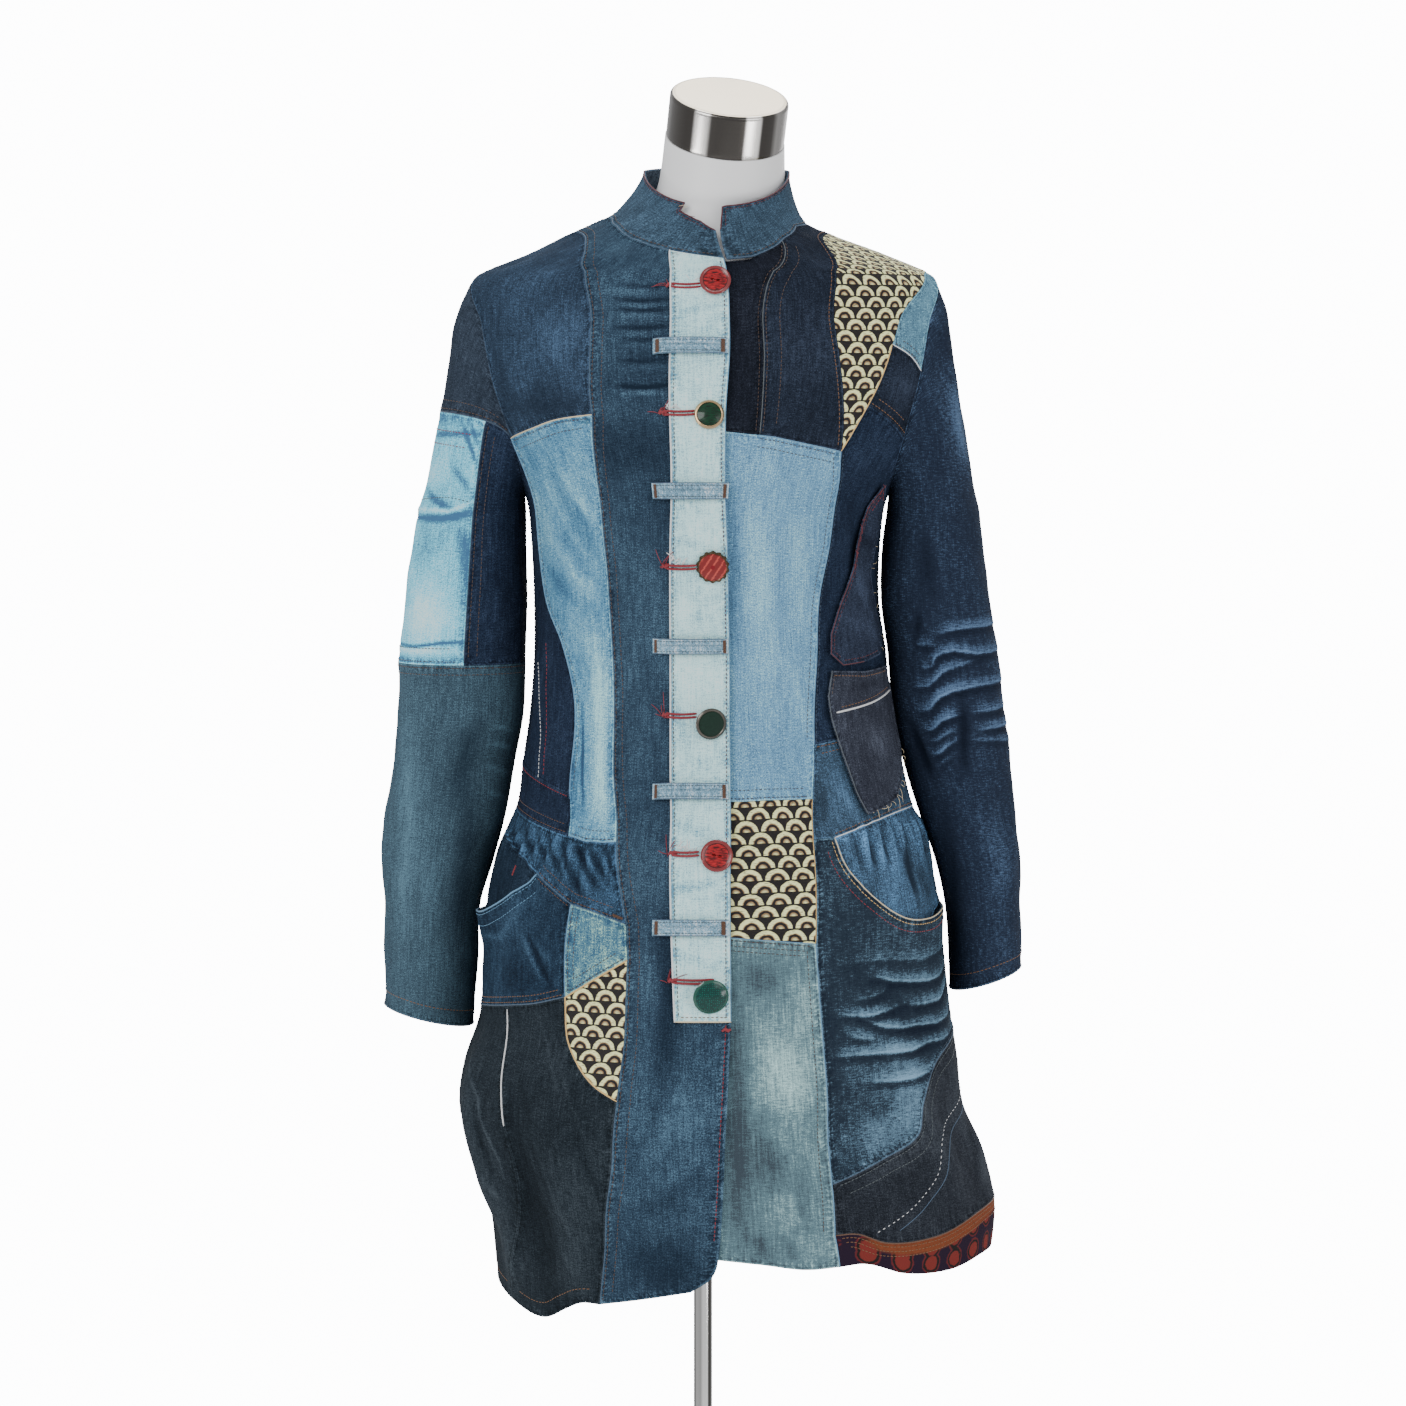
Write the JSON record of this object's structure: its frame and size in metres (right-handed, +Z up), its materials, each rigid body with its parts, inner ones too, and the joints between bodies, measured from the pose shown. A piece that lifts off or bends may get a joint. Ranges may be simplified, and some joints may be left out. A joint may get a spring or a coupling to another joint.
{
  "type": "patchwork denim coat on a limbless dress form with a pole stand",
  "caption": "Long fitted denim patchwork coat with stand collar, button strip, belt loops and gathered skirt, on a white limbless dress form with a metal neck cap, pole and round base.",
  "frame": {"origin": "centre of the underside of the round base, on the pole's axis", "axes": "+Z up along the pole, -Y out of the coat's front, +X towards the wearer's left"},
  "size_m": [0.5466, 0.3623, 1.6004],
  "materials": {
    "denim_dark": "dark indigo denim, matt",
    "denim_mid": "washed mid-blue denim, matt",
    "denim_light": "bleached light denim, matt",
    "denim_navy": "near-black raw denim, matt",
    "denim_pale": "very pale faded denim, matt",
    "brocade": "black cloth woven with cream crescents and discs",
    "hem_print": "dark purple cloth printed with red rings",
    "button_red": "glossy red with fine lines",
    "button_green": "glossy dark green in a metal rim",
    "form_white": "smooth white",
    "brushed_metal": "brushed nickel",
    "base_metal": "brushed steel"
  },
  "bodies": {
    "root": {"back_centre": "denim_mid", "back_left_side": "denim_dark", "back_right_side": "denim_dark", "back_skirt_left": "denim_mid", "back_skirt_right": "denim_dark", "base_plate": "base_metal", "button_1": "button_red", "button_2": "button_green", "button_3": "button_red", "button_4": "button_green", "button_5": "button_red", "button_6": "button_green", "collar_left": "denim_mid", "collar_right": "denim_mid", "form_torso": "form_white", "front_left_armhole": "denim_dark", "front_left_chest": "denim_navy", "front_left_neck": "denim_navy", "front_left_panel": "denim_light", "front_left_side": "denim_navy", "front_left_waist": "denim_mid", "front_right_centre": "denim_mid", "front_right_light": "denim_light", "front_right_shoulder": "denim_dark", "front_right_side": "denim_dark", "neck_cap": "brushed_metal", "placket_loop_1": "denim_light", "placket_loop_2": "denim_light", "placket_loop_3": "denim_light", "placket_loop_4": "denim_light", "placket_loop_5": "denim_light", "placket_strip": "denim_pale", "pole_flange": "base_metal", "pole_tube": "base_metal", "shoulder_left_brocade": "brocade", "shoulder_left_light": "denim_light", "side_flap": "denim_navy", "side_tab": "denim_navy", "skirt_left_band": "hem_print", "skirt_left_brocade": "brocade", "skirt_left_centre": "denim_light", "skirt_left_dark": "denim_navy", "skirt_left_gather": "denim_mid", "skirt_left_side": "denim_mid", "skirt_right_brocade": "brocade", "skirt_right_facing": "denim_dark", "skirt_right_gather": "denim_dark", "skirt_right_light": "denim_light", "skirt_right_lower_front": "denim_navy", "skirt_right_lower_side": "denim_navy", "skirt_right_pocket": "denim_dark", "sleeve_left": "denim_mid", "sleeve_right_cap": "denim_dark", "sleeve_right_inner_back": "denim_dark", "sleeve_right_inner_front": "denim_dark", "sleeve_right_lower": "denim_mid", "sleeve_right_pocket_panel": "denim_light", "waist_right_side": "denim_dark"}
  },
  "joints": []
}
